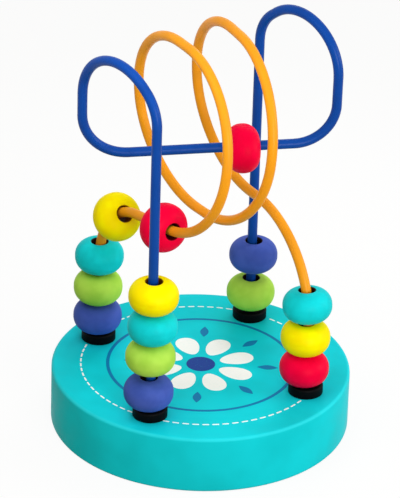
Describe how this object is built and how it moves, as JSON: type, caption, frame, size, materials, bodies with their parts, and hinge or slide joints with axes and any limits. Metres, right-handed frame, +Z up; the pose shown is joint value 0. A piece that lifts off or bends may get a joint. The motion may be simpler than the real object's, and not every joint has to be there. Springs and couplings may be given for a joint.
{
  "type": "bead maze",
  "caption": "Small bead maze toy: a round painted wooden base with two looping painted steel wires set in black collars, and round wooden beads in five colours that slide along the wires",
  "frame": {"origin": "middle of the underside of the base, which rests on the table", "axes": "+Z up; -Y towards the front post, +Y to the back post, -X to the left post, +X to the right post"},
  "size_m": [0.091, 0.091, 0.1288],
  "materials": {
    "base_turquoise": "satin paint on turned wood",
    "collar_black": "moulded satin black",
    "wire_blue": "gloss powder coat",
    "wire_orange": "gloss powder coat",
    "bead_indigo": "gloss paint on turned wood",
    "bead_green": "gloss paint on turned wood",
    "bead_turquoise": "gloss paint on turned wood",
    "bead_yellow": "gloss paint on turned wood",
    "bead_red": "gloss paint on turned wood"
  },
  "bodies": {
    "maze_frame": {"turned_base": "base_turquoise", "front_collar": "collar_black", "back_collar": "collar_black", "left_collar": "collar_black", "right_collar": "collar_black", "blue_wire": "wire_blue", "orange_wire": "wire_orange"},
    "front_indigo": {"front_indigo_bead": "bead_indigo"},
    "front_green": {"front_green_bead": "bead_green"},
    "front_turquoise": {"front_turquoise_bead": "bead_turquoise"},
    "front_yellow": {"front_yellow_bead": "bead_yellow"},
    "back_green": {"back_green_bead": "bead_green"},
    "back_indigo": {"back_indigo_bead": "bead_indigo"},
    "left_indigo": {"left_indigo_bead": "bead_indigo"},
    "left_green": {"left_green_bead": "bead_green"},
    "left_turquoise": {"left_turquoise_bead": "bead_turquoise"},
    "left_bend_yellow": {"left_bend_yellow_bead": "bead_yellow"},
    "coil_entry_red": {"coil_entry_red_bead": "bead_red"},
    "right_red": {"right_red_bead": "bead_red"},
    "right_yellow": {"right_yellow_bead": "bead_yellow"},
    "right_bend_turquoise": {"right_bend_turquoise_bead": "bead_turquoise"},
    "level_run_red": {"level_run_red_bead": "bead_red"}
  },
  "joints": [
    {"name": "front_indigo_slide", "type": "slide", "parent": "maze_frame", "child": "front_indigo", "axis": [0, 0, 1], "range_m": [0, 0.012]},
    {"name": "front_green_slide", "type": "slide", "parent": "front_indigo", "child": "front_green", "axis": [0, 0, 1], "range_m": [-0.0021, 0.012]},
    {"name": "front_turquoise_slide", "type": "slide", "parent": "front_green", "child": "front_turquoise", "axis": [0, 0, 1], "range_m": [-0.0001, 0.012]},
    {"name": "front_yellow_slide", "type": "slide", "parent": "front_turquoise", "child": "front_yellow", "axis": [0, 0, 1], "range_m": [-0.0001, 0.012]},
    {"name": "back_green_slide", "type": "slide", "parent": "maze_frame", "child": "back_green", "axis": [0, 0, 1], "range_m": [-0.0007, 0.0323]},
    {"name": "back_indigo_slide", "type": "slide", "parent": "back_green", "child": "back_indigo", "axis": [0, 0, 1], "range_m": [-0.0029, 0.033]},
    {"name": "left_indigo_spin", "type": "hinge", "parent": "maze_frame", "child": "left_indigo", "pos_m": [-0.0351, -0.00069, 0.0263], "axis": [0, 0, 1], "continuous": true},
    {"name": "left_green_spin", "type": "hinge", "parent": "maze_frame", "child": "left_green", "pos_m": [-0.0351, -0.00069, 0.0363], "axis": [0, 0, 1], "continuous": true},
    {"name": "left_turquoise_spin", "type": "hinge", "parent": "maze_frame", "child": "left_turquoise", "pos_m": [-0.03514, -0.00007, 0.0466], "axis": [0, 0, 1], "continuous": true},
    {"name": "left_bend_yellow_travel", "type": "hinge", "parent": "maze_frame", "child": "left_bend_yellow", "pos_m": [-0.0157, -0.01057, 0.04703], "axis": [0.4803, 0.8771, 0], "range_deg": [-21, 13]},
    {"name": "coil_entry_red_slide", "type": "slide", "parent": "maze_frame", "child": "coil_entry_red", "axis": [0.8695, -0.4761, 0.1315], "range_m": [-0.0075, 0.0005]},
    {"name": "right_red_spin", "type": "hinge", "parent": "maze_frame", "child": "right_red", "pos_m": [0.03437, -0.0003, 0.0263], "axis": [0, 0, 1], "continuous": true},
    {"name": "right_yellow_spin", "type": "hinge", "parent": "maze_frame", "child": "right_yellow", "pos_m": [0.03437, -0.0003, 0.0368], "axis": [0, 0, 1], "continuous": true},
    {"name": "right_bend_turquoise_travel", "type": "hinge", "parent": "maze_frame", "child": "right_bend_turquoise", "pos_m": [0.00946, 0.01575, 0.0409], "axis": [-0.5249, -0.8512, 0], "range_deg": [0, 60]},
    {"name": "level_run_red_slide", "type": "slide", "parent": "maze_frame", "child": "level_run_red", "axis": [0.813, 0.5822, 0], "range_m": [-0.0294, 0.0101]}
  ]
}
